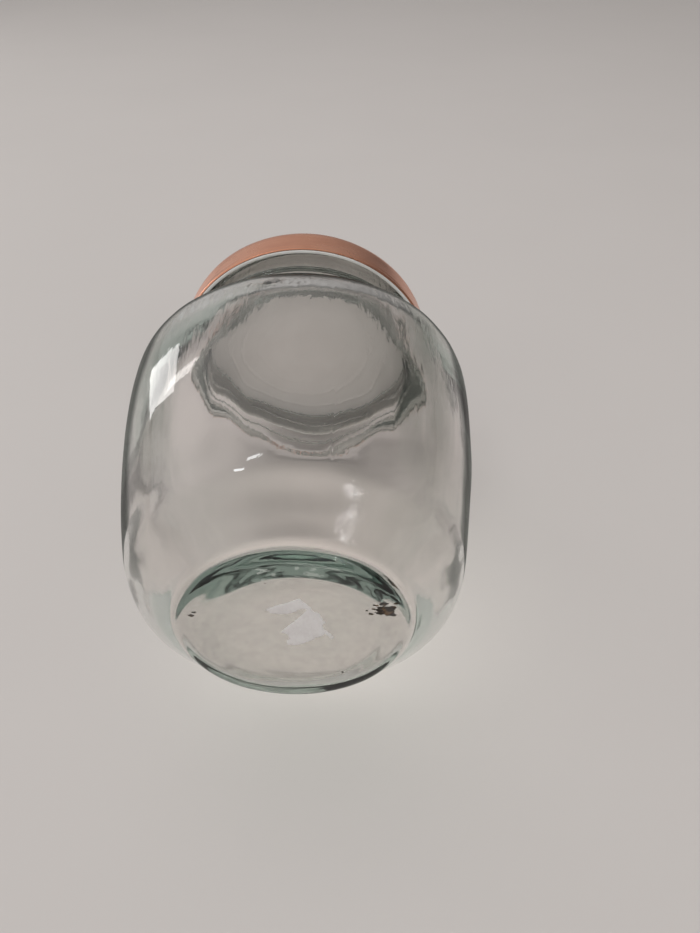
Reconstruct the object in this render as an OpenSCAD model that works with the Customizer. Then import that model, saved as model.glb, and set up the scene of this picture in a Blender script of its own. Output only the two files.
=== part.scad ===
// Wide-mouth glass specimen jar with a copper-finished screw lid.
// The jar stands on its ring foot at z = 0, with its axis on Z and the flats of its soft
// square body facing +X, -X, +Y and -Y. All sizes are in millimetres.

/* [Jar body] */
// Half width of the body across its flats, at the widest height
belly_half = 64.8; // [62:0.1:68]
// Height of the widest section
belly_z = 96; // [90:1:98]
// How square the widest section is: 2 is round, more is squarer
belly_square = 2.35; // [2:0.05:2.8]
// How square the widest section of the cavity is, which leaves the glass thicker at the corners
cavity_square = 2.1; // [2:0.05:2.4]
// Half width of the body at the corner of its heel
heel_half = 52.4; // [50:0.1:53]
// Height of the heel's corner
heel_z = 15; // [13:0.1:18]
// Half width of the cavity at the corner of its heel
heel_half_in = 49.4; // [48:0.1:50]
// Height of the cavity's heel corner
heel_in_z = 17; // [16.5:0.1:18]
// Wall thickness at the widest section
belly_wall = 2.4; // [2:0.1:3]
// Number of flat facets around the body
body_facets = 60; // [48:4:72]

/* [Ring foot] */
// Radius where the body meets the ring foot
foot_r = 35.5; // [35:0.1:37]
// Height where the body meets the ring foot
foot_z = 2.4; // [2:0.1:2.6]
// Outer radius of the flat standing ring
stand_outer_r = 33; // [32:0.5:34]
// Inner radius of the flat standing ring
stand_inner_r = 29; // [28.5:0.5:31]
// Radius of the flat panel inside the push-up
push_up_r = 21.7; // [20:0.1:23]
// Depth of the push-up
push_up_depth = 2.2; // [2:0.1:3]

/* [Neck and rim] */
// Outer radius of the neck
neck_r = 51.2; // [51:0.1:51.3]
// Neck wall thickness
neck_wall = 4; // [3.5:0.1:4.5]
// Height where the shoulder meets the neck
neck_root_z = 127; // [126:0.5:128]
// Height of the sealing rim
rim_z = 156.5; // [156:0.1:156.5]
// Height of the transfer bead below the lid
bead_z = 135; // [134:0.5:136]

/* [Thread] */
// Number of thread starts on the neck
thread_starts = 4; // [4:1:4]
// Rise of the lid in one full turn
lead = 16; // [14:0.5:16]
// Height of each thread's middle
thread_z = 149.5; // [149:0.1:150]
// Angle that each thread spans
thread_span = 80; // [60:1:80]
// How far a thread stands out from the neck
thread_depth = 1.7; // [1.5:0.1:1.8]
// Angle that each lug of the lid spans
lug_span = 14; // [10:1:16]

/* [Lid] */
// Outer radius of the lid's skirt
lid_r = 55.2; // [55:0.1:55.4]
// Height of the lid's lower edge above the table
lid_bottom_z = 143.1; // [142.5:0.1:143.5]
// Height of the lid's top
lid_top_z = 160.6; // [160.4:0.1:161]
// Thickness of the lid's sheet metal
sheet = 0.5; // [0.4:0.05:0.5]
// Depth of the round panel in the lid's top
panel_drop = 0.8; // [0.5:0.1:0.8]
// Radius of that panel
panel_r = 45; // [40:1:46]

/* [Liner and label] */
// Thickness of the sealing liner
liner_t = 1.2; // [1:0.1:1.3]
// Thickness of the paper left from the base label
paper_t = 0.15; // [0.1:0.05:0.3]

/* [Hidden] */
$fn = 96;

// Body outline: a cone from the foot, a rounded heel, and power curves for the wall and shoulder
wall_bend = 1.7;
shoulder_bend = 1.9;
heel_start = 0.7;
heel_reach = 8;
heel_steps = 5;
wall_steps = 7;
shoulder_steps = 7;

// Inside of the body
cavity_z = 6.2;
cavity_r = 32.5;
belly_half_in = belly_half - belly_wall;
mouth_r = neck_r - neck_wall;
neck_root_in_z = neck_root_z - 2;
cavity_top_r = mouth_r + 0.12;

// Base plate, with a domed floor inside
plate_r = foot_r - 0.05;
floor_edge_z = cavity_z + 0.4;
floor_top_z = 10.4;

// Neck details
bead_out = 1.4;
bead_half = 1.7;
rim_round = 1.2;
cove = 1.6;

// Thread and lugs. A tilted arc follows the helix of the thread closely over a short span.
thread_half = 1.2;
crest_half = 0.55;
thread_r = neck_r + thread_depth;
thread_tilt = asin(lead / (2 * PI * neck_r));
lug_r = neck_r + 0.35;
lug_back = 15;
lug_drop = 1.95;
lug_nose_half = 0.45;
lug_root_half = 0.75;

// Lid details
slack = 0.05;
skirt_in_r = lid_r - sheet;
insert_r = skirt_in_r - slack;
insert_wall = 1.1;
insert_in_r = insert_r - insert_wall;
corner_r = 3;
hem_out = 0.25;
hem_top_z = lid_bottom_z + 2.5;
insert_foot = 0.5;
insert_top_z = lid_top_z - panel_drop - sheet - slack;
liner_bottom_z = rim_z + slack;
liner_top_z = liner_bottom_z + liner_t;
ceiling_z = liner_top_z + slack;
liner_r = insert_in_r - 0.35;
retainer_r = liner_r - 0.6;
retainer_z = liner_bottom_z - 0.15;

// Torn paper outline: round numbers along its edge, from its left tip, clockwise seen from below
paper_edge = [
    [-7.9, -10.7], [-4.9, -12.2], [-0.9, -13.7], [2.4, -15.4], [3.6, -14], [5.5, -11.2], [6.1, -9.5],
    [8.1, -8], [8.6, -5.7], [9.6, -3.7], [8.7, -2.2], [9.1, -0.2], [10.6, 1.8], [12.1, 4.3],
    [11.3, 5.3], [9.4, 2.2], [8.1, 3.6], [6.6, 4], [5.1, 5.6], [3.1, 6.6], [0.4, 8], [-2.4, 7.6],
    [-2.7, 5.8], [-1.9, 4.3], [-1.9, 2.6], [-4.1, 0.8], [-3.1, -0.7], [0.1, -4], [1.6, -6],
    [3.3, -8.2], [4.5, -10.6], [2.1, -10.2], [0.1, -8.7], [-2.9, -8.2], [-5.9, -8.7]
];

// Points of an arc of radius r about [x, z], from angle a0 to a1
function arc(x, z, r, a0, a1, steps = 8) =
    [for (i = [0:steps]) let (a = a0 + (a1 - a0) * i / steps) [x + r * cos(a), z + r * sin(a)]];

// A section of the body is [height, half width across the flats, squareness]
function squareness(share, most) = 2 + (most - 2) * share * share;
function bend(a, b, c, t) = a * (1 - t) * (1 - t) + 2 * b * t * (1 - t) + c * t * t;
function wall_r(z, z1, r1, r2) = r2 - (r2 - r1) * pow((belly_z - z) / (belly_z - z1), wall_bend);

// Below the widest height: from the foot at z0, r0 round the heel at z1, r1 up to the width r2
function lower(z0, r0, z1, r1, r2, most) =
    let (
        start_z = z0 + (z1 - z0) * heel_start,
        start_r = r0 + (r1 - r0) * heel_start,
        end_z = z1 + heel_reach,
        end_r = wall_r(end_z, z1, r1, r2),
        heel = [for (i = [0:heel_steps])
            let (t = i / heel_steps) [bend(start_z, z1, end_z, t), bend(start_r, r1, end_r, t)]],
        wall = [for (i = [1:wall_steps])
            let (z = end_z + (belly_z - end_z) * i / wall_steps) [z, wall_r(z, z1, r1, r2)]]
    )
    [for (p = concat([[z0, r0]], heel, wall)) [p[0], p[1], squareness((p[1] - r0) / (r2 - r0), most)]];

// Above the widest height: from the width r1 to the neck at z2, r2
function shoulder(r1, r2, z2, most) = [for (i = [1:shoulder_steps])
    let (t = i / shoulder_steps, drop = pow(t, shoulder_bend))
    [belly_z + (z2 - belly_z) * t, r1 - (r1 - r2) * drop, squareness(1 - drop, most)]];

outer_sections = concat(
    lower(foot_z, foot_r, heel_z, heel_half, belly_half, belly_square),
    shoulder(belly_half, neck_r, neck_root_z, belly_square)
);
inner_sections = concat(
    lower(cavity_z, cavity_r, heel_in_z, heel_half_in, belly_half_in, cavity_square),
    shoulder(belly_half_in, cavity_top_r, neck_root_in_z, cavity_square)
);

// Radius of a superellipse at angle a: half width h across the flats, exponent n
function soft_square(a, h, n) = h / pow(pow(abs(cos(a)), n) + pow(abs(sin(a)), n), 1 / n);

// Closed wall of rings: out is listed upwards and in is listed upwards too
module ring_wall(out, in) {
    rings = concat(out, [for (i = [len(in) - 1:-1:0]) in[i]]);
    count = len(rings);
    facets = body_facets;
    points = [for (s = rings, j = [0:facets - 1])
        let (a = 360 * j / facets, r = soft_square(a, s[1], s[2])) [r * cos(a), r * sin(a), s[0]]];
    faces = [for (i = [0:count - 1], j = [0:facets - 1])
        let (p = i * facets, q = ((i + 1) % count) * facets, k = (j + 1) % facets)
        each [[p + j, q + j, q + k], [p + j, q + k, p + k]]];
    polyhedron(points, faces);
}

// Thread or lug outline: root and tip radii with half heights, swept over a short tilted arc
module tilted_arc(span, r_root, half_root, r_tip, half_tip) {
    rotate([thread_tilt, 0, 0])
    rotate([0, 0, -span / 2])
    rotate_extrude(angle = span)
    polygon([[r_root, -half_root], [r_tip, -half_tip], [r_tip, half_tip], [r_root, half_root]]);
}

module body_wall() {
    ring_wall(outer_sections, inner_sections);
}

// Base with the standing ring, the push-up and a gently crowned floor
module base_plate() {
    rotate_extrude()
    polygon([
        [0, push_up_depth], [push_up_r, push_up_depth], [push_up_r + 1.5, push_up_depth - 0.3],
        [stand_inner_r - 2, 0.5], [stand_inner_r - 0.8, 0.12], [stand_inner_r, 0],
        [stand_outer_r, 0], [stand_outer_r + 1, 0.3], [foot_r - 0.6, 1.3],
        [plate_r, foot_z + 0.3], [plate_r, cavity_z - 2], [cavity_r + 2, floor_edge_z],
        [cavity_r - 0.3, floor_edge_z], [26, floor_top_z - 2.1], [22, floor_top_z - 1.1],
        [16, floor_top_z - 0.3], [0, floor_top_z]
    ]);
}

// Neck tube with a cove at its root, the transfer bead and a chamfered sealing rim
module neck() {
    rotate_extrude()
    polygon(concat(
        [
            [mouth_r, neck_root_in_z - 0.1], [neck_r + 0.4, neck_root_in_z - 0.1],
            [neck_r + 0.4, neck_root_z - 1], [neck_r + 0.3, neck_root_z + 0.2],
            [neck_r + 0.07, neck_root_z + cove], [neck_r, neck_root_z + cove + 1]
        ],
        [for (a = [-90:15:90]) [neck_r + bead_out * cos(a), bead_z + bead_half * sin(a)]],
        [
            [neck_r, rim_z - rim_round], [neck_r - rim_round * 0.8, rim_z],
            [mouth_r + rim_round * 0.8, rim_z], [mouth_r, rim_z - rim_round]
        ]
    ));
}

module neck_threads() {
    for (i = [0:thread_starts - 1])
        translate([0, 0, thread_z])
        rotate([0, 0, 360 * i / thread_starts])
        tilted_arc(thread_span, neck_r - 0.3, thread_half, thread_r, crest_half);
}

// The jar: one piece of clear, slightly green glass
module jar_glass() {
    color([0.74, 0.82, 0.78, 0.45]) {
        body_wall();
        base_plate();
        neck();
        neck_threads();
    }
}

// Outer outline of the metal lid from its lower edge to the centre of its top
skirt_line = concat(
    [[skirt_in_r + 0.15, lid_bottom_z + insert_foot]],
    arc(lid_r - 0.5, lid_bottom_z + 1.45, hem_out + 0.55, -75, 75, 8),
    [[lid_r - 0.15, hem_top_z + 0.1]],
    [for (t = [0:0.25:1])
        [lid_r + 0.12 * sin(180 * t) - 0.05 * t, hem_top_z + 0.6 + (lid_top_z - corner_r - hem_top_z - 0.6) * t]],
    arc(lid_r - 0.05 - corner_r, lid_top_z - corner_r, corner_r, 10, 90, 8),
    arc(panel_r + 1.2, lid_top_z - 0.8, 0.8, 90, 180, 4)
);

// Copper-finished sheet metal cover
module lid_shell() {
    inner_corner = corner_r - sheet;
    color([0.72, 0.45, 0.34])
    rotate_extrude()
    polygon(concat(
        skirt_line,
        [
            [panel_r + 0.2, lid_top_z - panel_drop], [0, lid_top_z - panel_drop],
            [0, lid_top_z - panel_drop - sheet], [panel_r + 0.9, lid_top_z - panel_drop - sheet],
            [panel_r + 1.4, lid_top_z - sheet]
        ],
        arc(skirt_in_r - inner_corner, lid_top_z - corner_r, inner_corner, 90, 0, 6),
        [[skirt_in_r, lid_bottom_z + insert_foot]]
    ));
}

// White threaded inner cap, pressed into the metal shell
module lid_insert() {
    color([0.9, 0.89, 0.87]) {
        rotate_extrude()
        polygon([
            [insert_in_r + 0.1, lid_bottom_z], [insert_r - 0.1, lid_bottom_z],
            [insert_r + 0.15, lid_bottom_z + 0.2], [insert_r + 0.15, lid_bottom_z + insert_foot - slack],
            [insert_r, lid_bottom_z + insert_foot], [insert_r, insert_top_z - 2],
            [insert_r - 2, insert_top_z], [0, insert_top_z], [0, ceiling_z],
            [insert_in_r, ceiling_z], [insert_in_r, retainer_z],
            [retainer_r, retainer_z - 0.1], [retainer_r, retainer_z - 0.5],
            [insert_in_r, retainer_z - 1.4], [insert_in_r, lid_bottom_z + 0.3]
        ]);
        for (i = [0:thread_starts - 1])
            translate([0, 0, thread_z - lug_drop - lead * lug_back / 360])
            rotate([0, 0, 360 * i / thread_starts - lug_back])
            tilted_arc(lug_span, insert_in_r + 0.3, lug_root_half, lug_r, lug_nose_half);
    }
}

// Soft sealing liner: a disc with two shallow pressed rings on its underside
module liner_disc() {
    ring_r = [mouth_r - 7, mouth_r - 15];
    groove = 0.25;
    color([0.8, 0.78, 0.74])
    difference() {
        translate([0, 0, liner_bottom_z]) cylinder(h = liner_t, r = liner_r);
        for (r = ring_r)
            translate([0, 0, liner_bottom_z - groove])
            difference() {
                cylinder(h = 2 * groove, r = r + 0.8);
                cylinder(h = 2 * groove, r = r - 0.8);
            }
    }
}

// Torn paper left by the base label, stuck flat under the push-up
module label_remnant() {
    color([0.93, 0.92, 0.9])
    translate([0, 0, push_up_depth - paper_t])
    linear_extrude(height = paper_t)
    polygon(paper_edge);
}

jar_glass();
lid_shell();
lid_insert();
liner_disc();
label_remnant();
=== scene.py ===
import math

import bmesh
import bpy
import numpy as np
from mathutils import Matrix, Vector
from mathutils.geometry import delaunay_2d_cdt


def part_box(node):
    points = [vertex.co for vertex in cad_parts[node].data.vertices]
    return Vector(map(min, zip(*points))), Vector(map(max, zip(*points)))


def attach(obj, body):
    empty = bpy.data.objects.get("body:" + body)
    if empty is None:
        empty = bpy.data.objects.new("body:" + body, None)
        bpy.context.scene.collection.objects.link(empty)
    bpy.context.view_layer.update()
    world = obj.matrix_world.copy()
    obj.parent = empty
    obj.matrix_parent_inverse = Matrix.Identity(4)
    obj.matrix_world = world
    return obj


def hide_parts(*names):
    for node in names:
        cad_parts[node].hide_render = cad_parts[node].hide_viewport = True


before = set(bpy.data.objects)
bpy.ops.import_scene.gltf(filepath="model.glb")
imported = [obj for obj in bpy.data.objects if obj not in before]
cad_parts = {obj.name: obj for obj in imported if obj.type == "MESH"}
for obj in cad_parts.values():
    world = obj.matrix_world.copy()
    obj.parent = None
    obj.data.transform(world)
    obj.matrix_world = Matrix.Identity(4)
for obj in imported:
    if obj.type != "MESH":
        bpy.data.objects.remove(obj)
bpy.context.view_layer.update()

# Sizes read from the frame. Outlines below are written in millimetres.
MM = 0.001
jar_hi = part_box("jar_glass")[1]
lid_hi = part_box("lid_shell")[1]
cap_lo, cap_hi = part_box("lid_insert")
liner_lo, liner_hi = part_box("liner_disc")
paper_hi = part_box("label_remnant")[1]
BELLY = jar_hi.x / MM
RIM = jar_hi.z / MM
LID_TOP = lid_hi.z / MM
LID_BOTTOM = cap_lo.z / MM
LINER_LOW = liner_lo.z / MM
LINER_TOP = liner_hi.z / MM
PUSH_UP = paper_hi.z / MM

# The rest of the outline: where the belly, heel, foot and neck are, and how wide the mouth is
BELLY_Z, HEEL_Z, HEEL_R = 96.0, 15.0, 52.4
FOOT_R, FOOT_Z = 35.5, 2.4
NECK_R, NECK_Z, MOUTH_R = 51.2, 127.0, 47.2
# How square the cavity gets, and the radius at the floor where it is still round
INNER_SQUARE = 0.14
CAVITY_R = 32.5


# ---------------------------------------------------------------- shapes

def rounded(points, rounds=3):
    """Cuts the corners of a polyline a few times and keeps its ends."""
    p = np.array(points, float)
    for _ in range(rounds):
        q = np.empty((2 * len(p), p.shape[1]))
        q[0], q[-1] = p[0], p[-1]
        q[1:-1:2] = 0.75 * p[:-1] + 0.25 * p[1:]
        q[2:-1:2] = 0.25 * p[:-1] + 0.75 * p[1:]
        p = q
    return p


def spaced(points, step):
    """The same polyline with points about step apart, measured in its first two columns."""
    p = np.array(points, float)
    run = np.concatenate([[0], np.cumsum(np.linalg.norm(np.diff(p[:, :2], axis=0), axis=1))])
    at = np.linspace(0, run[-1], max(2, round(run[-1] / step) + 1))
    return np.stack([np.interp(at, run, p[:, c]) for c in range(p.shape[1])], -1)


def joined(*parts):
    """Polylines end to end, without doubled points."""
    rows = [parts[0]]
    for part in parts[1:]:
        rows.append(part[1:] if np.allclose(rows[-1][-1, :2], part[0, :2], atol=1e-6) else part)
    return np.concatenate(rows)


def step_up(x, lo, hi):
    t = np.clip((x - lo) / (hi - lo), 0, 1)
    return t * t * (3 - 2 * t)


def waves(seed, az, run, count, turns, length):
    """Gentle seeded ripples of about unit size: whole waves round the axis, and lengths along the path."""
    rng = np.random.default_rng(seed)
    total = np.zeros(np.broadcast(az, run).shape)
    for _ in range(count):
        m = rng.integers(turns[0], turns[1] + 1)
        wave = rng.uniform(*length)
        sign = rng.choice([-1, 1])
        phase, size = rng.uniform(0, 2 * math.pi), rng.uniform(0.5, 1)
        total += size * np.cos(m * az + sign * 2 * math.pi * run / wave + phase)
    return total / math.sqrt(count * 0.3)


def angles(count, extra=()):
    """Angles round the axis, closer together near the extra ones, in radians."""
    a = list(np.arange(count) * 2 * math.pi / count)
    for centre in extra:
        for off in (-1.0, -0.65, -0.35, 0.0, 0.35, 0.65, 1.0):
            a.append(math.radians(centre + off) % (2 * math.pi))
    a = np.array(sorted(a))
    keep = np.diff(np.concatenate([a, [a[0] + 2 * math.pi]])) > math.radians(0.12)
    return a[keep]


def turned(name, rings, az):
    """A closed mesh of rings round the Z axis. rings is an array (ring, angle, 3) in millimetres, and
    its first and last ring are single points on the axis."""
    mesh = bpy.data.meshes.new(name)
    bm = bmesh.new()
    rows = []
    for i, ring in enumerate(rings):
        if i in (0, len(rings) - 1):
            rows.append([bm.verts.new(Vector(ring.mean(0)) * MM)] * len(az))
        else:
            rows.append([bm.verts.new(Vector(p) * MM) for p in ring])
    count = len(az)
    for a, b in zip(rows, rows[1:]):
        for j in range(count):
            k = (j + 1) % count
            corners = [a[j], a[k], b[k], b[j]]
            corners = [v for n, v in enumerate(corners) if v not in corners[:n]]
            face = bm.faces.new(corners)
            face.smooth = True
    bmesh.ops.recalc_face_normals(bm, faces=bm.faces[:])
    bm.to_mesh(mesh)
    bm.free()
    obj = bpy.data.objects.new(name, mesh)
    bpy.context.scene.collection.objects.link(obj)
    return obj


def lathe(path, az, square=None, move=None):
    """Points (ring, angle, 3) of a path of (r, z) turned round the axis. square holds each ring's
    squareness, and move is a displacement along the path's normal, in millimetres."""
    r, z = path[:, 0], path[:, 1]
    tangent = np.gradient(path[:, :2], axis=0)
    tangent /= np.maximum(np.linalg.norm(tangent, axis=1, keepdims=True), 1e-9)
    nr, nz = tangent[:, 1], -tangent[:, 0]
    shift = np.zeros((len(path), len(az))) if move is None else move
    radius = np.maximum(r[:, None] + nr[:, None] * shift, 0)
    height = z[:, None] + nz[:, None] * shift
    if square is not None:
        n = square[:, None]
        radius = radius / (np.abs(np.cos(az)) ** n + np.abs(np.sin(az)) ** n) ** (1 / n)
    return np.stack([radius * np.cos(az), radius * np.sin(az), height], -1)


def path_run(path):
    return np.concatenate([[0], np.cumsum(np.linalg.norm(np.diff(path[:, :2], axis=0), axis=1))])


# ---------------------------------------------------------------- materials

def material(name):
    mat = bpy.data.materials.new(name)
    mat.use_nodes = True
    tree = mat.node_tree
    return mat, tree, tree.nodes["Principled BSDF"]


def put(tree, kind, **sockets):
    """Adds a node. Names ending in _ are node settings, and the others are inputs: a socket to link
    or a value."""
    node = tree.nodes.new(kind)
    for key, value in sockets.items():
        if key.endswith("_"):
            setattr(node, key[:-1], value)
    for key, value in sockets.items():
        if key.endswith("_"):
            continue
        name = key.replace("__", " ")
        socket = node.inputs[int(name[1:])] if name[0] == "i" and name[1:].isdigit() else node.inputs[name]
        if isinstance(value, bpy.types.NodeSocket):
            tree.links.new(value, socket)
        else:
            socket.default_value = value
    return node


def object_place(tree, scale=(1, 1, 1)):
    """The point's place in its object's own frame, scaled."""
    coords = put(tree, "ShaderNodeTexCoord")
    return put(tree, "ShaderNodeMapping", Vector=coords.outputs["Object"], Scale=scale).outputs["Vector"]


def ramp(tree, fac, stops):
    node = put(tree, "ShaderNodeValToRGB", Fac=fac)
    el = node.color_ramp.elements
    while len(el) < len(stops):
        el.new(0.5)
    for e, (at, colour) in zip(el, stops):
        e.position = at
        e.color = (*colour, 1) if len(colour) == 3 else colour
    return node.outputs["Color"]


def ranged(tree, value, lo, hi, to_lo, to_hi):
    return put(tree, "ShaderNodeMapRange", Value=value, From__Min=lo, From__Max=hi, To__Min=to_lo,
               To__Max=to_hi).outputs["Result"]


def glass_material():
    mat, tree, bsdf = material("green_tinged_glass")
    # Face on, the glass keeps a faint warm tint. At its rims and outlines, where it is seen edge on, its
    # colour is painted nearly black: painted shade for the dark that the edges bend in
    edge = put(tree, "ShaderNodeLayerWeight", Blend=0.5)
    behind = put(tree, "ShaderNodeNewGeometry").outputs["Backfacing"]
    front = put(tree, "ShaderNodeMath", operation_="SUBTRACT", i0=1.0, i1=behind)
    place = put(tree, "ShaderNodeTexCoord").outputs["Object"]
    height = put(tree, "ShaderNodeSeparateXYZ", Vector=place).outputs["Z"]
    walled = put(tree, "ShaderNodeMath", operation_="MULTIPLY", i0=front.outputs["Value"],
                 i1=ranged(tree, height, 0.008, 0.022, 0.0, 1.0))
    rim = put(tree, "ShaderNodeMath", operation_="MULTIPLY", i0=edge.outputs["Facing"],
              i1=walled.outputs["Value"])
    tint_and_outline_shade = ramp(tree, rim.outputs["Value"],
                [(0.0, (0.998, 0.957, 0.95)), (0.73, (0.995, 0.957, 0.95)), (0.79, (0.07, 0.083, 0.075)),
                 (0.95, (0.03, 0.038, 0.034))])
    # The base is scuffed and a little dusty where the jar has stood
    low = ranged(tree, height, 0.0026, 0.0036, 1.0, 0.0)
    dust = put(tree, "ShaderNodeTexNoise", Vector=object_place(tree, (300, 300, 300)), Scale=1.0, Detail=7.0,
               Roughness=0.62)
    film = ranged(tree, dust.outputs["Fac"], 0.3, 0.7, 0.55, 1.0)
    scuffed = put(tree, "ShaderNodeMath", operation_="MULTIPLY", i0=low, i1=film).outputs["Value"]
    toned = put(tree, "ShaderNodeMix", data_type_="RGBA", blend_type_="MULTIPLY", i0=scuffed, i6=tint_and_outline_shade,
                i7=(0.65, 0.64, 0.63, 1)).outputs[2]
    # The wall is thicker down its four soft corners, and there its colour is darkened in streaks, most on the
    # front (-Y) corners: painted shade for the dark that the thick corners bend in
    parts = put(tree, "ShaderNodeSeparateXYZ", Vector=place)
    angle = put(tree, "ShaderNodeMath", operation_="ARCTAN2", i0=parts.outputs["Y"], i1=parts.outputs["X"])
    four = put(tree, "ShaderNodeMath", operation_="MULTIPLY", i0=angle.outputs["Value"], i1=4.0)
    turn = put(tree, "ShaderNodeMath", operation_="COSINE", i0=four.outputs["Value"])
    drawn = put(tree, "ShaderNodeTexNoise", Vector=object_place(tree, (110, 110, 16)), Scale=1.0, Detail=5.0,
                Distortion=0.4)
    streaky = put(tree, "ShaderNodeMath", operation_="MULTIPLY_ADD", i0=drawn.outputs["Fac"], i1=1.1,
                  i2=turn.outputs["Value"])
    corner = ranged(tree, streaky.outputs["Value"], -0.55, -0.1, 1.0, 0.0)
    above = ranged(tree, height, 0.022, 0.045, 0.0, 1.0)
    below = ranged(tree, height, 0.098, 0.118, 1.0, 0.0)
    span = put(tree, "ShaderNodeMath", operation_="MULTIPLY", i0=above, i1=below)
    near = ranged(tree, parts.outputs["Y"], -0.01, 0.004, 1.0, 0.12)
    front_corner_shade = put(tree, "ShaderNodeMath", operation_="MULTIPLY", i0=corner, i1=near)
    corner_shade = put(tree, "ShaderNodeMath", operation_="MULTIPLY", i0=front_corner_shade.outputs["Value"],
                i1=span.outputs["Value"])
    tint_with_corner_shade = put(tree, "ShaderNodeMix", data_type_="RGBA", blend_type_="MULTIPLY", i0=corner_shade.outputs["Value"],
               i6=toned, i7=(0.53, 0.575, 0.54, 1)).outputs[2]
    tree.links.new(tint_with_corner_shade, bsdf.inputs["Base Color"])
    bsdf.inputs["Transmission Weight"].default_value = 1.0
    bsdf.inputs["IOR"].default_value = 1.52
    smear = put(tree, "ShaderNodeTexNoise", Vector=object_place(tree, (18, 18, 7)), Scale=1.0, Detail=6.0,
                Roughness=0.6)
    haze = ranged(tree, smear.outputs["Fac"], 0.52, 0.8, 0.0, 0.03)
    rough = put(tree, "ShaderNodeMath", operation_="MULTIPLY_ADD", i0=scuffed, i1=0.05, i2=haze)
    tree.links.new(rough.outputs["Value"], bsdf.inputs["Roughness"])
    # Streaks drawn out of the glass while it was soft, strongest round the shoulder and neck
    streak = put(tree, "ShaderNodeTexNoise", Vector=object_place(tree, (330, 330, 75)), Scale=1.0, Detail=4.0,
                 Distortion=0.6)
    upper = ranged(tree, height, 0.055, 0.10, 0.12, 1.0)
    relief = put(tree, "ShaderNodeMath", operation_="MULTIPLY", i0=streak.outputs["Fac"], i1=upper)
    bump = put(tree, "ShaderNodeBump", Height=relief.outputs["Value"], Strength=0.4, Distance=0.0004)
    tree.links.new(bump.outputs["Normal"], bsdf.inputs["Normal"])
    # Shadow and diffuse rays go straight through, and less gets past the heavy base and neck. Along the
    # wall the factor is above 1, in place of the light that real glass gathers and bends round the jar
    shade = ramp(tree, ranged(tree, height, 0.0, 0.16, 0.0, 1.0),
                 [(0.0, (0.96, 0.955, 0.95)), (0.06, (0.965, 0.96, 0.955)), (0.12, (1.10, 1.09, 1.085)),
                  (0.70, (1.10, 1.09, 1.085)), (0.82, (0.83, 0.825, 0.82)), (1.0, (0.66, 0.655, 0.65))])
    through = put(tree, "ShaderNodeBsdfTransparent", Color=shade)
    rays = put(tree, "ShaderNodeLightPath").outputs
    passes = put(tree, "ShaderNodeMath", operation_="MAXIMUM", i0=rays["Is Shadow Ray"],
                 i1=rays["Is Diffuse Ray"])
    # Seen edge on, the wall refracts through a dark colour and loses its reflection: a painted dark outline,
    # painted shade for the dark that the edges bend in
    outline = put(tree, "ShaderNodeBsdfRefraction", Color=(0.11, 0.13, 0.12, 1), IOR=1.52, Roughness=0.02)
    with_painted_outline = put(tree, "ShaderNodeMixShader", Fac=ranged(tree, rim.outputs["Value"], 0.76, 0.83, 0.0, 0.7),
                 i1=bsdf.outputs["BSDF"], i2=outline.outputs["BSDF"])
    either = put(tree, "ShaderNodeMixShader", Fac=passes.outputs["Value"], i1=with_painted_outline.outputs["Shader"],
                 i2=through.outputs["BSDF"])
    tree.links.new(either.outputs["Shader"], tree.nodes["Material Output"].inputs["Surface"])
    volume = put(tree, "ShaderNodeVolumeAbsorption", Color=(0.27, 0.535, 0.455, 1), Density=16.5)
    tree.links.new(volume.outputs["Volume"], tree.nodes["Material Output"].inputs["Volume"])
    return mat


def turned_coords(tree):
    """(distance from the axis, height, angle) as a vector: for marks that run round the axis."""
    place = put(tree, "ShaderNodeTexCoord").outputs["Object"]
    parts = put(tree, "ShaderNodeSeparateXYZ", Vector=place)
    flat = put(tree, "ShaderNodeCombineXYZ", X=parts.outputs["X"], Y=parts.outputs["Y"])
    out = put(tree, "ShaderNodeVectorMath", operation_="LENGTH", i0=flat.outputs["Vector"]).outputs["Value"]
    angle = put(tree, "ShaderNodeMath", operation_="ARCTAN2", i0=parts.outputs["Y"], i1=parts.outputs["X"])
    packed = put(tree, "ShaderNodeCombineXYZ", X=out, Y=parts.outputs["Z"], Z=angle.outputs["Value"])
    return packed.outputs["Vector"]


def copper_material():
    mat, tree, bsdf = material("satin_copper")
    bsdf.inputs["Metallic"].default_value = 1.0
    round_axis = turned_coords(tree)
    fine = put(tree, "ShaderNodeMapping", Vector=round_axis, Scale=(2600, 2600, 3))
    hair = put(tree, "ShaderNodeTexNoise", Vector=fine.outputs["Vector"], Scale=1.0, Detail=5.0,
               Roughness=0.65)
    broad = put(tree, "ShaderNodeTexNoise", Vector=object_place(tree, (40, 40, 90)), Scale=1.0, Detail=5.0,
                Roughness=0.6)
    tone = put(tree, "ShaderNodeMix", data_type_="FLOAT", Factor=0.35, i2=broad.outputs["Fac"],
               i3=hair.outputs["Fac"])
    colour = ramp(tree, tone.outputs["Result"],
                  [(0.3, (0.66, 0.29, 0.185)), (0.5, (0.80, 0.385, 0.25)), (0.72, (0.90, 0.49, 0.345))])
    tree.links.new(colour, bsdf.inputs["Base Color"])
    tree.links.new(ranged(tree, broad.outputs["Fac"], 0.3, 0.7, 0.20, 0.32), bsdf.inputs["Roughness"])
    bump = put(tree, "ShaderNodeBump", Height=hair.outputs["Fac"], Strength=0.25, Distance=0.00004)
    tree.links.new(bump.outputs["Normal"], bsdf.inputs["Normal"])
    return mat


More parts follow.
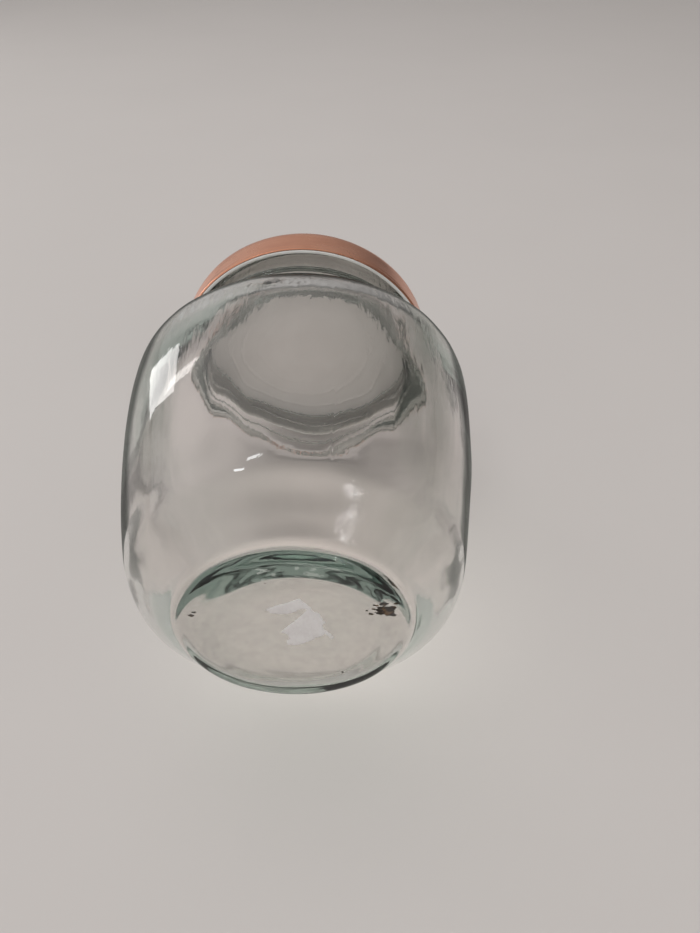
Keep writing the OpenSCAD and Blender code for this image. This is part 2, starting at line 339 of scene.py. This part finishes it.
def white_plastic_material():
    mat, tree, bsdf = material("white_plastic")
    grain = put(tree, "ShaderNodeTexNoise", Vector=object_place(tree, (900, 900, 900)), Scale=1.0, Detail=3.0)
    soil = put(tree, "ShaderNodeTexNoise", Vector=object_place(tree, (60, 60, 60)), Scale=1.0, Detail=4.0)
    colour = ramp(tree, soil.outputs["Fac"], [(0.3, (0.76, 0.74, 0.71)), (0.65, (0.85, 0.84, 0.82))])
    # Up inside the threads the plastic is painted darker, painted shade for the shadow inside the lid, and
    # only its lower edge keeps the full white
    place = put(tree, "ShaderNodeTexCoord").outputs["Object"]
    height = put(tree, "ShaderNodeSeparateXYZ", Vector=place).outputs["Z"]
    inner = ranged(tree, height, LID_BOTTOM * MM + 0.0008, LID_BOTTOM * MM + 0.003, 0.0, 1.0)
    shaded_inside = put(tree, "ShaderNodeMix", data_type_="RGBA", blend_type_="MULTIPLY", i0=inner, i6=colour,
               i7=(0.50, 0.49, 0.475, 1)).outputs[2]
    tree.links.new(shaded_inside, bsdf.inputs["Base Color"])
    tree.links.new(ranged(tree, grain.outputs["Fac"], 0.3, 0.7, 0.36, 0.46), bsdf.inputs["Roughness"])
    bump = put(tree, "ShaderNodeBump", Height=grain.outputs["Fac"], Strength=0.15, Distance=0.00005)
    tree.links.new(bump.outputs["Normal"], bsdf.inputs["Normal"])
    return mat


def liner_material():
    mat, tree, bsdf = material("liner_foam")
    cells = put(tree, "ShaderNodeTexVoronoi", Vector=object_place(tree, (2200, 2200, 2200)), Scale=1.0)
    cloud = put(tree, "ShaderNodeTexNoise", Vector=object_place(tree, (35, 35, 35)), Scale=1.0, Detail=5.0)
    colour = ramp(tree, cloud.outputs["Fac"], [(0.3, (0.62, 0.585, 0.56)), (0.7, (0.71, 0.68, 0.655))])
    tree.links.new(colour, bsdf.inputs["Base Color"])
    tree.links.new(ranged(tree, cloud.outputs["Fac"], 0.3, 0.7, 0.6, 0.75), bsdf.inputs["Roughness"])
    bump = put(tree, "ShaderNodeBump", Height=cells.outputs["Distance"], Strength=0.2, Distance=0.00006)
    tree.links.new(bump.outputs["Normal"], bsdf.inputs["Normal"])
    return mat


def paper_material():
    mat, tree, bsdf = material("torn_paper")
    fibre = put(tree, "ShaderNodeTexNoise", Vector=object_place(tree, (1400, 500, 1400)), Scale=1.0,
                Detail=8.0, Roughness=0.7)
    cloud = put(tree, "ShaderNodeTexNoise", Vector=object_place(tree, (220, 220, 220)), Scale=1.0, Detail=4.0)
    mixed = put(tree, "ShaderNodeMix", data_type_="FLOAT", Factor=0.5, i2=fibre.outputs["Fac"],
                i3=cloud.outputs["Fac"])
    colour = ramp(tree, mixed.outputs["Result"], [(0.36, (0.82, 0.79, 0.78)), (0.6, (0.93, 0.91, 0.90))])
    tree.links.new(colour, bsdf.inputs["Base Color"])
    bsdf.inputs["Roughness"].default_value = 0.9
    bump = put(tree, "ShaderNodeBump", Height=fibre.outputs["Fac"], Strength=0.5, Distance=0.00006)
    tree.links.new(bump.outputs["Normal"], bsdf.inputs["Normal"])
    return mat


# ---------------------------------------------------------------- the glass jar

# The mould's two seams and the thread's length in degrees, and the rest in millimetres
SEAMS = (-76.4, 103.6)
THREADS, LEAD, THREAD_Z, THREAD_SPAN, THREAD_DEPTH = 4, 16.0, 149.5, 80.0, 1.7
BEAD_Z, BEAD_HALF, BEAD_DEPTH = 135.0, 1.75, 1.4
PUSH_SHIFT = 2.0


def squareness(share, most=0.35):
    return 2 + most * np.clip(share, 0, 1) ** 2


def side_r(z, z1, r1, r2):
    """Half width of a wall that is r1 wide at its heel's corner height z1 and r2 wide at the belly."""
    return r2 - (r2 - r1) * ((BELLY_Z - z) / (BELLY_Z - z1)) ** 1.7


def lower_path(z0, r0, z1, r1, r2):
    """(r, z) from the foot round the heel and up to the belly."""
    start = np.array([r0 + (r1 - r0) * 0.7, z0 + (z1 - z0) * 0.7])
    end = np.array([side_r(z1 + 8, z1, r1, r2), z1 + 8])
    t = np.linspace(0, 1, 40)[:, None]
    heel = start * (1 - t) ** 2 + 2 * np.array([r1, z1]) * t * (1 - t) + end * t * t
    z = np.linspace(z1 + 8, BELLY_Z, 120)
    return joined(np.array([[r0, z0]]), heel, np.stack([side_r(z, z1, r1, r2), z], -1))


def shoulder_path(r1, r2, z2):
    t = np.linspace(0, 1, 80)
    return np.stack([r1 - (r1 - r2) * t ** 1.9, BELLY_Z + (z2 - BELLY_Z) * t], -1)


def outer_path():
    """(r, z, squareness) from the middle of the base up the outside to the root of the neck."""
    base = spaced(rounded([(0, PUSH_UP), (16.5, PUSH_UP), (19.6, PUSH_UP - 0.02), (22.4, PUSH_UP - 0.4),
                           (25.6, 0.85), (27.6, 0.15), (29.2, 0), (31.0, 0), (32.6, 0), (34.0, 0.3),
                           (35.2, 1.5), (36.3, 2.7), (37.6, 3.95)]), 0.7)
    body = joined(base[-1:], lower_path(FOOT_Z, FOOT_R, HEEL_Z, HEEL_R, BELLY)[1:],
                  shoulder_path(BELLY, NECK_R, NECK_Z)[:-3])
    body = spaced(body, 1.6)
    root = spaced(rounded([tuple(body[-1]), (NECK_R + 0.55, NECK_Z - 0.25), (NECK_R + 0.12, NECK_Z + 0.9),
                           (NECK_R, NECK_Z + 2.4)]), 0.6)
    path = joined(base, body, root)
    r, z = path[:, 0], path[:, 1]
    share = np.where(z < BELLY_Z, (r - FOOT_R) / (BELLY - FOOT_R), (r - NECK_R) / (BELLY - NECK_R))
    return np.column_stack([path, squareness(share)])


def neck_path():
    """(r, z, squareness) up the neck, over the rim and down to the neck's root inside."""
    up = spaced([(NECK_R, NECK_Z + 2.4), (NECK_R, RIM - 1.6)], 0.45)
    rim = spaced(rounded([(NECK_R, RIM - 1.6), (NECK_R, RIM - 0.5), (NECK_R - 0.7, RIM), (49.2, RIM),
                          (MOUTH_R + 0.7, RIM), (MOUTH_R, RIM - 0.5), (MOUTH_R, RIM - 1.6)]), 0.4)
    down = spaced([(MOUTH_R, RIM - 1.6), (MOUTH_R, NECK_Z + 13)], 1.8)
    path = joined(up, rim, down)
    return np.column_stack([path, np.full(len(path), 2.0)])


# Thickness of the wall (height, thickness): thin in the middle, heavier toward the heel and the shoulder
WALL_AT = [(24, 4.2), (29, 3.8), (34, 3.3), (40, 2.8), (48, 2.4), (60, 2.2), (75, 2.3), (96, 2.5), (110, 2.9),
           (123, 3.9)]


def inner_path():
    """(r, z, squareness) from the neck's root down the inside to the middle of the floor."""
    at = rounded(WALL_AT, 4)
    z = np.concatenate([np.linspace(NECK_Z - 5, BELLY_Z, 30), np.linspace(BELLY_Z, 24, 90)[1:]])
    up = shoulder_path(BELLY, NECK_R, NECK_Z)
    below = side_r(np.minimum(z, BELLY_Z), HEEL_Z, HEEL_R, BELLY)
    outer = np.where(z > BELLY_Z, np.interp(z, up[:, 1], up[:, 0]), below)
    wall = np.stack([outer - np.interp(z, at[:, 0], at[:, 1]), z], -1)
    root = rounded([(MOUTH_R, NECK_Z + 13), (MOUTH_R - 0.4, NECK_Z + 7), (MOUTH_R - 1.4, NECK_Z + 2),
                    (MOUTH_R - 1.0, NECK_Z - 2), tuple(wall[0])])
    cup = rounded([tuple(wall[-1]), (49.0, 20.5), (46.0, 17.4), (41.5, 14.0), (37.2, 10.2), (35.2, 7.6),
                   (33.4, 6.5), (31.0, 6.75), (26.5, 8.3), (21.0, 10.2), (16.0, 10.8), (8.0, 10.9),
                   (0.0, 10.9)])
    side = spaced(joined(root, wall[1:]), 1.8)
    path = joined(side, spaced(cup, 1.3))
    r, z = path[:, 0], path[:, 1]
    inside = BELLY - 4
    share = np.where(z < BELLY_Z, (r - CAVITY_R) / (inside - CAVITY_R), (r - MOUTH_R) / (inside - MOUTH_R))
    return np.column_stack([path, squareness(share, INNER_SQUARE)])


def neck_relief(az, z):
    """How far the transfer bead and the threads stand out from the neck."""
    relief = BEAD_DEPTH * np.sqrt(np.clip(1 - ((z - BEAD_Z) / BEAD_HALF) ** 2, 0, 1))
    for i in range(THREADS):
        off = (np.degrees(az) - 360 * i / THREADS + 180) % 360 - 180
        centre = THREAD_Z + LEAD * off / 360
        bulge = np.clip(1 - ((z - centre) / 1.45) ** 2, 0, 1) ** 0.75
        ends = step_up(THREAD_SPAN / 2 - np.abs(off), 0, 7)
        relief = np.maximum(relief, THREAD_DEPTH * bulge * ends)
    return relief


def make_jar():
    az = angles(228, SEAMS)
    out, neck, inside = outer_path(), neck_path(), inner_path()
    path = joined(out, neck, inside)
    run = path_run(path)[:, None]
    r, z = path[:, 0][:, None], path[:, 1][:, None]
    rim_row = int(np.argmax(path[:, 1]))
    outside = (np.arange(len(path)) <= rim_row)[:, None]
    a = az[None, :]
    body = step_up(z, 6, 26) * (1 - step_up(z, 122, 131))
    low = (1 - step_up(z, 4, 20))
    shoulder = step_up(z, 88, 108) * (1 - step_up(z, 124, 133))
    move = np.zeros((len(path), len(az)))
    # Hand-made glass: an uneven wall, cords that run up it and ripples round its shoulder
    calm = 1 - 0.7 * step_up(z, 98, 116)
    move += np.where(outside, 0.10, 0.26 * calm) * body * waves(3, a, run, 14, (1, 5), (45, 130))
    move += np.where(outside, 0.045, 0.05 * calm) * body * waves(5, a, run, 22, (5, 14), (18, 60))
    move += np.where(outside, 0.024, 0.008) * body * waves(7, a, run, 26, (18, 44), (90, 400))
    move += np.where(outside, 0.018, 0.02) * shoulder * waves(9, a, run, 20, (1, 6), (4, 10))
    move += np.where(outside, 0.0, 0.022) * low * waves(13, a, run, 18, (1, 7), (9, 26))
    # Foot and push-up: turned rings and small unevenness, with the standing ring left flat
    push = outside * (1 - step_up(r, 26.5, 29.0)) * (z < 4)
    move += push * 0.035 * waves(15, a, run, 10, (1, 4), (3, 7))
    move -= push * 0.07 * np.exp(-((r - 17.2) / 0.7) ** 2)
    move -= push * 0.07 * np.exp(-((r - 20.2) / 0.6) ** 2)
    foot = outside * step_up(r, 33.2, 34.6) * (1 - step_up(z, 6, 12))
    move += foot * 0.03 * waves(17, a, run, 14, (2, 12), (2, 6))
    neck_on = outside * step_up(z, 129, 130.5) * (1 - step_up(z, RIM - 1.6, RIM - 1.2))
    move += neck_on * neck_relief(a, z)
    move += neck_on * 0.02 * waves(19, a, run, 12, (2, 9), (5, 15))
    for seam in SEAMS:
        off = (np.degrees(a) - seam + 180) % 360 - 180
        ridge = np.exp(-((off / 0.42) ** 2))
        height = 0.02 * step_up(z, 5, 12) + 0.08 * step_up(z, 124, 131)
        move += outside * height * (1 - step_up(z, RIM - 4, RIM - 2)) * ridge
    rings = lathe(path, az, path[:, 2], move)
    # The push-up was pressed a little off the jar's axis
    rings[:, :, 0] += outside * (z < 3) * PUSH_SHIFT * (1 - step_up(r, 21.5, 33.0))
    obj = turned("jar_glass_fine", rings, az)
    obj.data.materials.append(glass_material())
    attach(obj, "jar")
    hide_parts("jar_glass")


# ---------------------------------------------------------------- the lid

def make_lid_shell():
    az = angles(240)
    r, top, low = lid_hi.x / MM - 0.3, LID_TOP, LID_BOTTOM + 0.5
    inner = r - 0.5
    path = joined(
        spaced(rounded([(0, top - 0.8), (44.2, top - 0.8), (45.2, top - 0.75), (45.9, top - 0.1), (46.8, top),
                        (r - 3, top), (r - 0.6, top - 0.6), (r - 0.05, top - 3.0), (r, top - 5)]), 0.55),
        spaced([(r, top - 5), (r + 0.02, low + 3.2)], 1.2),
        spaced(rounded([(r + 0.02, low + 3.2), (r - 0.08, low + 2.2), (r - 0.1, low + 1.9),
                        (r + 0.22, low + 1.5), (r + 0.3, low + 0.9), (r + 0.2, low + 0.3), (r - 0.15, low),
                        (inner + 0.12, low + 0.05), (inner, low + 0.3), (inner, low + 1)]), 0.22),
        spaced([(inner, low + 1), (inner, top - 3.2)], 1.5),
        spaced(rounded([(inner, top - 3.2), (inner - 0.4, top - 1.2), (inner - 2.5, top - 0.5),
                        (46.5, top - 0.5), (45.6, top - 0.9), (45, top - 1.3), (0, top - 1.3)]), 1.2),
    )
    z = path[:, 1][:, None]
    a = az[None, :]
    skirt = step_up(path[:, 0][:, None], 50, 53)
    move = 0.03 * skirt * waves(31, a, z, 12, (2, 9), (20, 60))
    # A shallow dent in the skirt's -X -Y side. The path runs back up the inner wall, so the sign turns there
    off = (np.degrees(a) + 128 + 180) % 360 - 180
    half = (np.arange(len(path)) < len(path) * 0.6)[:, None]
    dent = 0.05 * np.exp(-((off / 4.0) ** 2) - ((z - (low + 4.6)) / 3.0) ** 2)
    move += np.where(half, 1.0, -1.0) * skirt * dent
    obj = turned("lid_shell_fine", lathe(path, az, None, move), az)
    obj.data.materials.append(copper_material())
    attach(obj, "lid")
    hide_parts("lid_shell")


# The lugs under the threads: how far in they stand, half their length and their turn back from the
# middle of a thread in degrees, and how far under it they are
LUG_REACH, LUG_HALF, LUG_BACK, LUG_DROP = 1.85, 7, 15, 1.95


def make_lid_insert():
    az = angles(240)
    r = cap_hi.x / MM - 0.15
    low, top, ceiling = LID_BOTTOM, cap_hi.z / MM, LINER_TOP + 0.05
    inner = r - 1.1
    path = joined(
        spaced([(0, top), (r - 3, top)], 2.5),
        spaced(rounded([(r - 3, top), (r - 1.6, top - 0.2), (r - 0.2, top - 1.7), (r, top - 3)]), 0.7),
        spaced([(r, top - 3), (r, low + 0.8)], 1.5),
        spaced(rounded([(r, low + 0.8), (r, low + 0.5), (r + 0.14, low + 0.42), (r + 0.14, low + 0.2),
                        (r - 0.05, low), (inner + 0.15, low), (inner, low + 0.25),
                        (inner, low + 0.6)]), 0.18),
        spaced([(inner, low + 0.6), (inner, LINER_LOW - 1.6)], 0.4),
        spaced(rounded([(inner, LINER_LOW - 1.6), (inner - 0.85, LINER_LOW - 0.6),
                        (inner - 0.9, LINER_LOW - 0.3), (inner, LINER_LOW - 0.1), (inner, ceiling)]), 0.3),
        spaced([(inner, ceiling), (0, ceiling)], 2.5),
    )
    z = path[:, 1][:, None]
    a = az[None, :]
    move = np.zeros((len(path), len(az)))
    inside = ((path[:, 0] < inner + 0.05) & (path[:, 1] < LINER_LOW - 1.5))[:, None]
    lug_z = THREAD_Z - LUG_DROP - LEAD * LUG_BACK / 360
    for i in range(THREADS):
        off = (np.degrees(a) - 360 * i / THREADS + LUG_BACK + 180) % 360 - 180
        centre = lug_z + LEAD * off / 360
        bulge = np.clip(1 - ((z - centre) / 0.8) ** 2, 0, 1) ** 0.7
        move -= inside * LUG_REACH * bulge * step_up(LUG_HALF - np.abs(off), 0, 2)
    obj = turned("lid_insert_fine", lathe(path, az, None, move), az)
    obj.data.materials.append(white_plastic_material())
    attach(obj, "lid")
    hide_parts("lid_insert")


# Radius, depth and width of three rings that stand down from the liner, and of the print that the jar's
# rim has pressed up into it
LINER_RINGS = ((40.2, 0.25, 0.8), (32.2, 0.2, 0.8), (22, 0.08, 1.2), (48.6, -0.15, 1.6))


def make_liner():
    az = angles(200)
    r = liner_hi.x / MM
    low, top = LINER_LOW, LINER_TOP
    path = joined(
        spaced([(0, top), (r - 0.5, top)], 2.5),
        spaced(rounded([(r - 0.5, top), (r, top), (r, top - 0.5), (r, low + 0.5), (r, low),
                        (r - 0.5, low)]), 0.2),
        spaced([(r - 0.5, low), (0, low)], 0.35),
    )
    ring = path[:, 0][:, None]
    under = (path[:, 1][:, None] < low + 0.01)
    move = np.zeros((len(path), len(az)))
    for centre, depth, width in LINER_RINGS:
        move -= under * depth * np.exp(-(((ring - centre) / width) ** 2))
    obj = turned("liner_disc_fine", lathe(path, az, None, move), az)
    obj.data.materials.append(liner_material())
    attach(obj, "liner")
    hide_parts("liner_disc")


# ---------------------------------------------------------------- the torn label

PAPER_EDGE = [
    (-7.9, -10.7), (-4.9, -12.2), (-0.9, -13.7), (2.4, -15.4), (3.6, -14.0), (5.5, -11.2), (6.1, -9.5),
    (8.1, -8.0), (8.6, -5.7), (9.6, -3.7), (8.7, -2.2), (9.1, -0.2), (10.6, 1.8), (12.1, 4.3),
    (11.3, 5.3), (9.4, 2.2), (8.1, 3.6), (6.6, 4.0), (5.1, 5.6), (3.1, 6.6), (0.4, 8.0),
    (-2.4, 7.6), (-2.7, 5.8), (-1.9, 4.3), (-1.9, 2.6), (-4.1, 0.8), (-3.1, -0.7), (0.1, -4.0),
    (1.6, -6.0), (3.3, -8.2), (4.5, -10.6), (2.1, -10.2), (0.1, -8.7), (-2.9, -8.2), (-5.9, -8.7),
]


def make_label():
    rng = np.random.default_rng(41)
    ring = np.array(PAPER_EDGE, float)
    edge = []
    for a, b in zip(ring, np.roll(ring, -1, axis=0)):
        count = max(2, round(np.linalg.norm(b - a) / 0.35))
        side = np.array([b[1] - a[1], a[0] - b[0]]) / np.linalg.norm(b - a)
        for i in range(count):
            t = i / count
            edge.append(a + (b - a) * t + side * rng.normal(0, 0.13) * (1 if i else 0.4))
    edge = np.array(edge)
    lo, hi = edge.min(0), edge.max(0)
    inner = [(x + rng.uniform(-0.2, 0.2), y + rng.uniform(-0.2, 0.2))
             for x in np.arange(lo[0], hi[0], 0.7) for y in np.arange(lo[1], hi[1], 0.7)]
    loop = list(range(len(edge)))
    points = [Vector(p) for p in edge] + [Vector(p) for p in inner]
    flat, _, faces, _, _, _ = delaunay_2d_cdt(points, [], [loop], 1, 1e-4)
    flat = np.array([tuple(p) for p in flat])
    gap = np.min(np.linalg.norm(flat[:, None] - edge[None], axis=2), axis=1)
    thin = 0.03 + 0.10 * step_up(gap, 0.0, 0.9)
    crinkle = 0.015 * np.sin(flat[:, 0] * 2.1 + 1.3 * np.sin(flat[:, 1] * 1.7)) * step_up(gap, 0.2, 1.2)
    mesh = bpy.data.meshes.new("label_remnant_fine")
    bm = bmesh.new()
    top = [bm.verts.new((p[0] * MM, p[1] * MM, (PUSH_UP - 0.005) * MM)) for p in flat]
    low = [bm.verts.new((p[0] * MM, p[1] * MM, (PUSH_UP - 0.005 - t - c) * MM))
           for p, t, c in zip(flat, thin, crinkle)]
    rim = {}
    for f in faces:
        bm.faces.new([top[i] for i in f])
        bm.faces.new([low[i] for i in reversed(f)]).smooth = True
        for a, b in zip(f, f[1:] + f[:1]):
            rim[(a, b)] = rim.get((a, b), 0) + 1
    for a, b in rim:
        if (b, a) not in rim:
            bm.faces.new([top[b], top[a], low[a], low[b]])
    loose = [v for v in bm.verts if not v.link_faces]
    bmesh.ops.delete(bm, geom=loose, context="VERTS")
    bmesh.ops.recalc_face_normals(bm, faces=bm.faces[:])
    bm.to_mesh(mesh)
    bm.free()
    obj = bpy.data.objects.new("label_remnant_fine", mesh)
    bpy.context.scene.collection.objects.link(obj)
    obj.data.materials.append(paper_material())
    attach(obj, "jar")
    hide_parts("label_remnant")


def grime_material():
    mat, tree, bsdf = material("dried_grime")
    grain = put(tree, "ShaderNodeTexNoise", Vector=object_place(tree, (2400, 2400, 2400)), Scale=1.0,
                Detail=6.0, Roughness=0.7)
    patch = put(tree, "ShaderNodeTexNoise", Vector=object_place(tree, (420, 420, 420)), Scale=1.0, Detail=2.0)
    dark = ramp(tree, grain.outputs["Fac"], [(0.3, (0.012, 0.010, 0.008)), (0.7, (0.05, 0.036, 0.024))])
    brown = ramp(tree, grain.outputs["Fac"], [(0.3, (0.10, 0.058, 0.028)), (0.7, (0.24, 0.15, 0.08))])
    share = ranged(tree, patch.outputs["Fac"], 0.5, 0.62, 0.0, 1.0)
    colour = put(tree, "ShaderNodeMix", data_type_="RGBA", i0=share, i6=dark, i7=brown).outputs[2]
    tree.links.new(colour, bsdf.inputs["Base Color"])
    bsdf.inputs["Roughness"].default_value = 0.85
    bump = put(tree, "ShaderNodeBump", Height=grain.outputs["Fac"], Strength=0.6, Distance=0.00008)
    tree.links.new(bump.outputs["Normal"], bsdf.inputs["Normal"])
    return mat


# Flakes of dried grime in the corner of the push-up: x, y and size in millimetres
FLAKES = [(27.6, -11.0, 4.2), (28.9, -12.8, 2.9), (26.0, -12.9, 2.6), (25.4, -9.6, 1.9), (29.5, -9.6, 1.6),
          (27.0, -14.8, 1.9), (24.4, -13.9, 1.2), (23.2, -8.2, 1.2), (22.0, -9.8, 0.8), (24.0, -11.4, 1.1),
          (30.4, -14.8, 1.2), (-29.0, -11.6, 1.5), (-27.8, -13.1, 1.0), (14.2, 21.8, 0.6), (-6.4, -24.6, 0.5)]
# Out where the flakes are, the push-up is about this far off the axis
FLAKE_SHIFT = 1.0
FLAKE_CORNERS = 11


def make_grime():
    """Small flakes stuck to the underside of the push-up, above the level that the jar stands on."""
    rng = np.random.default_rng(77)
    base = outer_path()
    base = base[base[:, 0] < 29.0]
    mesh = bpy.data.meshes.new("base_grime")
    bm = bmesh.new()
    count = FLAKE_CORNERS
    for x, y, size in FLAKES:
        turn = rng.uniform(0, 6.28)
        reach = size * (0.5 + rng.uniform(-0.18, 0.22, count))
        faces = []
        for share, drop in ((1.0, 0.0), (0.95, 0.035), (0.55, 0.09)):
            row = []
            for i in range(count):
                a = turn + 2 * math.pi * i / count
                px, py = x + share * reach[i] * math.cos(a) * 1.25, y + share * reach[i] * math.sin(a) * 0.8
                r = math.hypot(px - FLAKE_SHIFT, py)
                level = np.interp(r, base[:, 0], base[:, 1])
                row.append(bm.verts.new((px * MM, py * MM, max(level + 0.02 - drop, 0.01) * MM)))
            faces.append(row)
        bm.faces.new(faces[0])
        bm.faces.new(faces[-1])
        for upper, lower in zip(faces, faces[1:]):
            for i in range(count):
                j = (i + 1) % count
                bm.faces.new([upper[i], upper[j], lower[j], lower[i]])
    bmesh.ops.recalc_face_normals(bm, faces=bm.faces[:])
    bm.to_mesh(mesh)
    bm.free()
    obj = bpy.data.objects.new("base_grime", mesh)
    bpy.context.scene.collection.objects.link(obj)
    obj.data.materials.append(grime_material())
    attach(obj, "jar")


# ---------------------------------------------------------------- stage, light and camera

def one_sided(name, base, rough):
    """A plain pale surface that is seen only from its front."""
    mat, tree, bsdf = material(name)
    cloud = put(tree, "ShaderNodeTexNoise", Vector=object_place(tree, (9, 9, 9)), Scale=1.0, Detail=4.0)
    colour = ramp(tree, cloud.outputs["Fac"], [(0.3, tuple(c * 0.985 for c in base)), (0.7, base)])
    tree.links.new(colour, bsdf.inputs["Base Color"])
    bsdf.inputs["Roughness"].default_value = rough
    bsdf.inputs["Specular IOR Level"].default_value = 0.3
    behind = put(tree, "ShaderNodeNewGeometry").outputs["Backfacing"]
    clear = put(tree, "ShaderNodeBsdfTransparent")
    both = put(tree, "ShaderNodeMixShader", Fac=behind, i1=bsdf.outputs["BSDF"], i2=clear.outputs["BSDF"])
    tree.links.new(both.outputs["Shader"], tree.nodes["Material Output"].inputs["Surface"])
    return mat


def sheet(name, centre, across, up, size, mat):
    """A flat square, size from its centre to each side, whose front faces across x up."""
    mesh = bpy.data.meshes.new(name)
    bm = bmesh.new()
    c, u, v = Vector(centre), Vector(across) * size, Vector(up) * size
    bm.faces.new([bm.verts.new(p) for p in (c - u - v, c + u - v, c + u + v, c - u + v)])
    bm.to_mesh(mesh)
    bm.free()
    obj = bpy.data.objects.new(name, mesh)
    bpy.context.scene.collection.objects.link(obj)
    obj.data.materials.append(mat)
    return obj


STAGE_COLOUR, STAGE_GAP, STAGE_HALF = (0.62, 0.585, 0.565), 0.0004, 6.0


def make_stage():
    """The table that the jar lies on, and a floor under its foot that only the camera sees."""
    table = one_sided("stage_table", STAGE_COLOUR, 0.6)
    sheet("stage_table", (0, jar_hi.y + STAGE_GAP, 0), (1, 0, 0), (0, 0, 1), STAGE_HALF, table)
    floor = one_sided("stage_floor", STAGE_COLOUR, 0.7)
    under = sheet("stage_floor", (0, 0, -STAGE_GAP), (1, 0, 0), (0, 1, 0), STAGE_HALF, floor)
    under.visible_diffuse = under.visible_glossy = under.visible_transmission = under.visible_shadow = False


def softbox(name, place, size, glow, colour=(1, 1, 1), mirrored=True):
    """A soft rectangular light that faces the jar. glow is how bright its face is, and mirrored is
    whether the glass and metal show its reflection."""
    data = bpy.data.lights.new(name, "AREA")
    data.shape = "RECTANGLE"
    data.size, data.size_y = size
    data.energy = glow * math.pi * size[0] * size[1]
    data.color = colour
    obj = bpy.data.objects.new(name, data)
    bpy.context.scene.collection.objects.link(obj)
    obj.location = place
    aim = Vector((0, 0, 0.08)) - Vector(place)
    obj.rotation_mode = "QUATERNION"
    obj.rotation_quaternion = aim.to_track_quat("-Z", "Y")
    obj.visible_camera = False
    data.cycles.use_multiple_importance_sampling = mirrored
    obj.visible_glossy = mirrored


def make_world():
    """A plain pale room: lighter on the side of the window and overhead, dimmer on the other side."""
    world = bpy.data.worlds.new("room")
    bpy.context.scene.world = world
    world.use_nodes = True
    tree = world.node_tree
    back = tree.nodes["Background"]
    way = put(tree, "ShaderNodeTexCoord").outputs["Generated"]
    side = put(tree, "ShaderNodeVectorMath", operation_="DOT_PRODUCT", i0=way, i1=(-0.70, -0.55, 0.1))
    level = ranged(tree, side.outputs["Value"], -0.8, 0.9, 0.0, 1.0)
    colour = ramp(tree, level, [(0.0, (0.09, 0.085, 0.08)), (0.35, (0.22, 0.21, 0.205)),
                                (0.6, (0.48, 0.465, 0.455)), (1.0, (0.84, 0.825, 0.81))])
    tree.links.new(colour, back.inputs["Color"])
    back.inputs["Strength"].default_value = 0.85


# A phone's main lens, for a frame that is 36 mm on its long side
LENS, LONG_SIDE = 27.04823, 36.0
# Where the camera is, the point it looks at, and its tilt about its own axis in degrees
CAMERA_AT, CAMERA_AIM, CAMERA_TILT = (0.01646, -0.17888, -0.12141), (0.0183, -0.0106, 0.0634), -1.76


def make_camera():
    data = bpy.data.cameras.new("camera")
    data.sensor_fit = "AUTO"
    data.sensor_width = LONG_SIDE
    data.lens = LENS
    obj = bpy.data.objects.new("camera", data)
    bpy.context.scene.collection.objects.link(obj)
    look = (Vector(CAMERA_AIM) - Vector(CAMERA_AT)).to_track_quat("-Z", "Y").to_matrix().to_4x4()
    tilt = Matrix.Rotation(math.radians(CAMERA_TILT), 4, "Z")
    obj.matrix_world = Matrix.Translation(CAMERA_AT) @ look @ tilt
    data.clip_start, data.clip_end = 0.01, 50
    bpy.context.scene.camera = obj


make_jar()
make_lid_shell()
make_lid_insert()
make_liner()
make_label()
make_grime()
make_stage()
make_world()
softbox("window_left", (-1.10, -0.19, 1.0), (0.5, 0.24), 4.3, (1.0, 0.98, 0.96))
softbox("window_small", (-0.67, -1.34, 0.0), (0.12, 0.10), 12.0, (0.93, 0.97, 1.0))
softbox("lamp", (0.78, -0.88, -0.93), (0.03, 0.05), 9.0)
softbox("fill_front", (0.55, -0.6, -0.85), (0.6, 0.5), 1.8, mirrored=False)
softbox("ceiling", (-0.2, -1.5, 0.3), (1.4, 1.4), 1.6, mirrored=False)
make_camera()

scene = bpy.context.scene
scene.view_settings.view_transform = "Standard"
scene.cycles.max_bounces = 24
scene.cycles.transmission_bounces = 24
scene.cycles.glossy_bounces = 8
scene.cycles.caustics_refractive = scene.cycles.caustics_reflective = False
